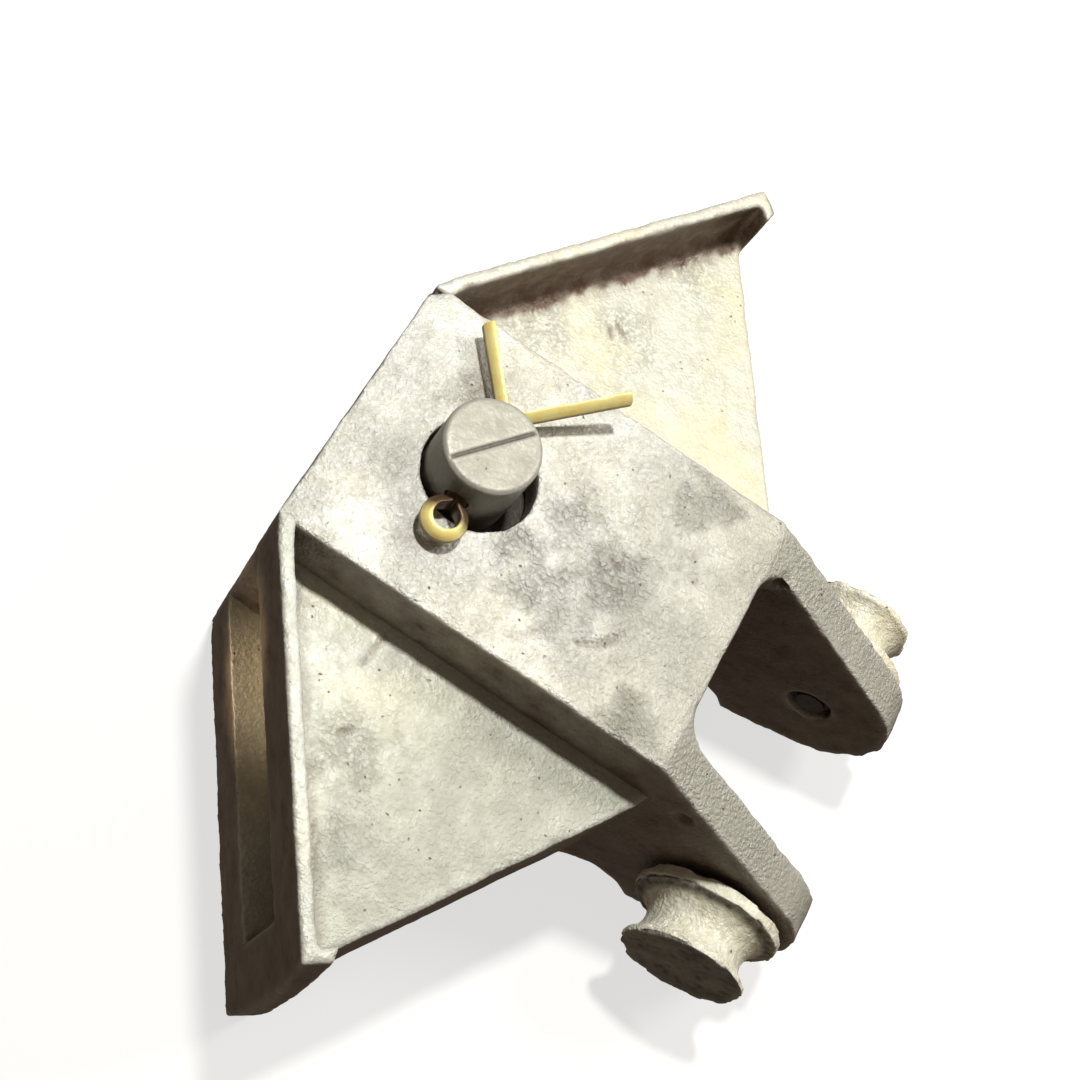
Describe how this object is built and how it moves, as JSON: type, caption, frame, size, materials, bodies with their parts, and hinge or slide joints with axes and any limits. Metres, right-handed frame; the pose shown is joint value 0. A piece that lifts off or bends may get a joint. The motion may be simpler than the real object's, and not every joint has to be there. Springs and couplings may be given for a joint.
{
  "type": "forked pivot bracket",
  "caption": "Cast forked bracket with triangular flanged side wings, a main pivot pin held by a brass split pin, and a grooved roller on the outside of each fork ear.",
  "frame": {"origin": "on the flat back face, on the axis of the main pin", "axes": "+Z out of the front plate along the main pin, +Y from the fork to the square end, +X to the right wing along the roller axes"},
  "size_m": [0.0682, 0.047, 0.0266],
  "materials": {
    "cast_metal": "light grey cast white metal, matt and slightly pitted",
    "pin_metal": "light grey cast white metal, turned end",
    "roller_metal": "light grey cast white metal, worn groove",
    "brass": "bright drawn brass wire",
    "bush_bronze": "dark oiled bronze",
    "axle_steel": "turned steel"
  },
  "bodies": {
    "bracket": {"fork_frame": "cast_metal", "back_cover": "cast_metal", "end_block": "cast_metal", "root_block": "cast_metal", "main_bush": "bush_bronze", "left_front_wing": "cast_metal", "left_back_wing": "cast_metal", "left_wing_core": "cast_metal", "left_axle_bush": "bush_bronze", "right_front_wing": "cast_metal", "right_back_wing": "cast_metal", "right_wing_core": "cast_metal", "right_axle_bush": "bush_bronze"},
    "main_pin": {"main_pin": "pin_metal", "split_pin": "brass"},
    "left_roller": {"left_roller": "roller_metal", "left_axle": "axle_steel", "left_retaining_ring": "axle_steel"},
    "right_roller": {"right_roller": "roller_metal", "right_axle": "axle_steel", "right_retaining_ring": "axle_steel"}
  },
  "joints": [
    {"name": "main_pin_turn", "type": "hinge", "parent": "bracket", "child": "main_pin", "pos_m": [0, 0, 0.0224], "axis": [0, 0, 1], "continuous": true},
    {"name": "left_roller_spin", "type": "hinge", "parent": "bracket", "child": "left_roller", "pos_m": [-0.013, -0.0316, 0.0083], "axis": [1, 0, 0], "continuous": true},
    {"name": "right_roller_spin", "type": "hinge", "parent": "bracket", "child": "right_roller", "pos_m": [0.013, -0.0316, 0.0083], "axis": [1, 0, 0], "continuous": true}
  ]
}
